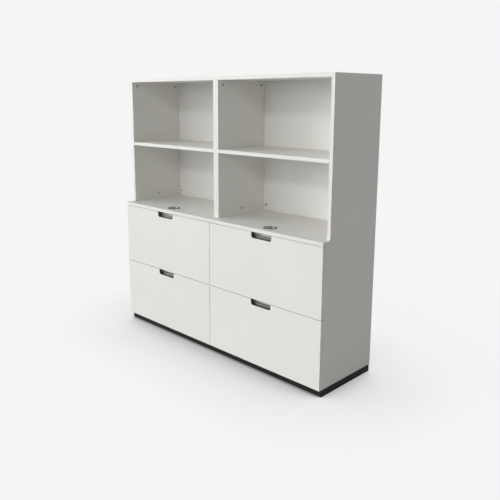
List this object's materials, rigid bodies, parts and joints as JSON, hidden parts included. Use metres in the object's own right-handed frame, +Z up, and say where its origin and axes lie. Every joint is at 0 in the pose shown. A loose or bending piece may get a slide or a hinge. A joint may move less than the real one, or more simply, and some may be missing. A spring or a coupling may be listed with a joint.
{
  "type": "storage cupboard",
  "caption": "Office storage cupboard: lateral file drawers with cut-out grips and code locks below a stepped-back pair of open shelf bays on a dark plinth.",
  "frame": {"origin": "centre of the footprint at floor level", "axes": "+X to the right seen from the front, -Y towards the user, +Z up"},
  "size_m": [1.6, 0.452, 1.59],
  "materials": {
    "white_board": "matt white foil on particleboard",
    "white_steel": "white powder coat",
    "grip_plastic": "fine grained",
    "plinth_board": "matt charcoal foil on particleboard",
    "zinc_steel": "zinc plated",
    "lock_plastic": "satin",
    "knob_metal": "satin",
    "wheel_plastic": "satin"
  },
  "bodies": {
    "carcass": {"side_panel_left": "white_board", "side_panel_right": "white_board", "top_panel": "white_board", "worktop": "white_board", "bottom_panel": "white_board", "partitions_lower": "white_board", "partitions_upper": "white_board", "back_lower": "white_board", "back_upper": "white_board", "shelf_left": "white_board", "shelf_right": "white_board", "shelf_pins": "zinc_steel", "cam_fittings": "zinc_steel", "plinth_front": "plinth_board", "plinth_back": "plinth_board", "plinth_cross_rails": "plinth_board", "runner_rails": "zinc_steel", "lock_guides": "zinc_steel", "lock_housing_left": "lock_plastic", "lock_housing_right": "lock_plastic"},
    "drawer_upper_left": {"front_upper_left": "white_board", "grip_upper_left": "grip_plastic", "box_walls_upper_left": "white_steel", "box_floor_upper_left": "white_board", "file_rails_upper_left": "zinc_steel", "runner_inner_upper_left": "zinc_steel"},
    "runner_mid_upper_left": {"runner_mid_upper_left": "zinc_steel"},
    "drawer_upper_right": {"front_upper_right": "white_board", "grip_upper_right": "grip_plastic", "box_walls_upper_right": "white_steel", "box_floor_upper_right": "white_board", "file_rails_upper_right": "zinc_steel", "runner_inner_upper_right": "zinc_steel"},
    "runner_mid_upper_right": {"runner_mid_upper_right": "zinc_steel"},
    "drawer_lower_left": {"front_lower_left": "white_board", "grip_lower_left": "grip_plastic", "box_walls_lower_left": "white_steel", "box_floor_lower_left": "white_board", "file_rails_lower_left": "zinc_steel", "runner_inner_lower_left": "zinc_steel"},
    "runner_mid_lower_left": {"runner_mid_lower_left": "zinc_steel"},
    "drawer_lower_right": {"front_lower_right": "white_board", "grip_lower_right": "grip_plastic", "box_walls_lower_right": "white_steel", "box_floor_lower_right": "white_board", "file_rails_lower_right": "zinc_steel", "runner_inner_lower_right": "zinc_steel"},
    "runner_mid_lower_right": {"runner_mid_lower_right": "zinc_steel"},
    "lock_knob_left": {"lock_knob_left": "knob_metal"},
    "lock_bar_left": {"lock_bar_left": "zinc_steel"},
    "wheel_left_a": {"wheel_left_a": "wheel_plastic"},
    "wheel_left_b": {"wheel_left_b": "wheel_plastic"},
    "wheel_left_c": {"wheel_left_c": "wheel_plastic"},
    "lock_knob_right": {"lock_knob_right": "knob_metal"},
    "lock_bar_right": {"lock_bar_right": "zinc_steel"},
    "wheel_right_a": {"wheel_right_a": "wheel_plastic"},
    "wheel_right_b": {"wheel_right_b": "wheel_plastic"},
    "wheel_right_c": {"wheel_right_c": "wheel_plastic"}
  },
  "joints": [
    {"name": "drawer_upper_left_slide", "type": "slide", "parent": "carcass", "child": "drawer_upper_left", "axis": [0, -1, 0], "range_m": [0, 0.38]},
    {"name": "runner_mid_upper_left_slide", "type": "slide", "parent": "carcass", "child": "runner_mid_upper_left", "axis": [0, -1, 0], "range_m": [0, 0.19]},
    {"name": "drawer_upper_right_slide", "type": "slide", "parent": "carcass", "child": "drawer_upper_right", "axis": [0, -1, 0], "range_m": [0, 0.38]},
    {"name": "runner_mid_upper_right_slide", "type": "slide", "parent": "carcass", "child": "runner_mid_upper_right", "axis": [0, -1, 0], "range_m": [0, 0.19]},
    {"name": "drawer_lower_left_slide", "type": "slide", "parent": "carcass", "child": "drawer_lower_left", "axis": [0, -1, 0], "range_m": [0, 0.38]},
    {"name": "runner_mid_lower_left_slide", "type": "slide", "parent": "carcass", "child": "runner_mid_lower_left", "axis": [0, -1, 0], "range_m": [0, 0.19]},
    {"name": "drawer_lower_right_slide", "type": "slide", "parent": "carcass", "child": "drawer_lower_right", "axis": [0, -1, 0], "range_m": [0, 0.38]},
    {"name": "runner_mid_lower_right_slide", "type": "slide", "parent": "carcass", "child": "runner_mid_lower_right", "axis": [0, -1, 0], "range_m": [0, 0.19]},
    {"name": "lock_bar_left_slide", "type": "slide", "parent": "carcass", "child": "lock_bar_left", "axis": [1, 0, 0], "range_m": [0, 0.01]},
    {"name": "lock_left_turn", "type": "hinge", "parent": "carcass", "child": "lock_knob_left", "pos_m": [-0.3761, -0.155, 0.801], "axis": [0, 0, 1], "range_deg": [0, 90]},
    {"name": "wheel_left_a_turn", "type": "hinge", "parent": "carcass", "child": "wheel_left_a", "pos_m": [-0.4203, -0.155, 0.7954], "axis": [1, 0, 0], "continuous": true},
    {"name": "wheel_left_b_turn", "type": "hinge", "parent": "carcass", "child": "wheel_left_b", "pos_m": [-0.4141, -0.155, 0.7954], "axis": [1, 0, 0], "continuous": true},
    {"name": "wheel_left_c_turn", "type": "hinge", "parent": "carcass", "child": "wheel_left_c", "pos_m": [-0.4079, -0.155, 0.7954], "axis": [1, 0, 0], "continuous": true},
    {"name": "lock_bar_right_slide", "type": "slide", "parent": "carcass", "child": "lock_bar_right", "axis": [1, 0, 0], "range_m": [0, 0.01]},
    {"name": "lock_right_turn", "type": "hinge", "parent": "carcass", "child": "lock_knob_right", "pos_m": [0.4241, -0.155, 0.801], "axis": [0, 0, 1], "range_deg": [0, 90]},
    {"name": "wheel_right_a_turn", "type": "hinge", "parent": "carcass", "child": "wheel_right_a", "pos_m": [0.3799, -0.155, 0.7954], "axis": [1, 0, 0], "continuous": true},
    {"name": "wheel_right_b_turn", "type": "hinge", "parent": "carcass", "child": "wheel_right_b", "pos_m": [0.3861, -0.155, 0.7954], "axis": [1, 0, 0], "continuous": true},
    {"name": "wheel_right_c_turn", "type": "hinge", "parent": "carcass", "child": "wheel_right_c", "pos_m": [0.3923, -0.155, 0.7954], "axis": [1, 0, 0], "continuous": true}
  ],
  "couplings": [
    {"joint": "runner_mid_upper_left_slide", "follows": "drawer_upper_left_slide", "ratio": 0.5},
    {"joint": "runner_mid_upper_right_slide", "follows": "drawer_upper_right_slide", "ratio": 0.5},
    {"joint": "runner_mid_lower_left_slide", "follows": "drawer_lower_left_slide", "ratio": 0.5},
    {"joint": "runner_mid_lower_right_slide", "follows": "drawer_lower_right_slide", "ratio": 0.5},
    {"joint": "lock_left_turn", "follows": "lock_bar_left_slide", "rad_per_m": 157.08},
    {"joint": "lock_right_turn", "follows": "lock_bar_right_slide", "rad_per_m": 157.08}
  ]
}
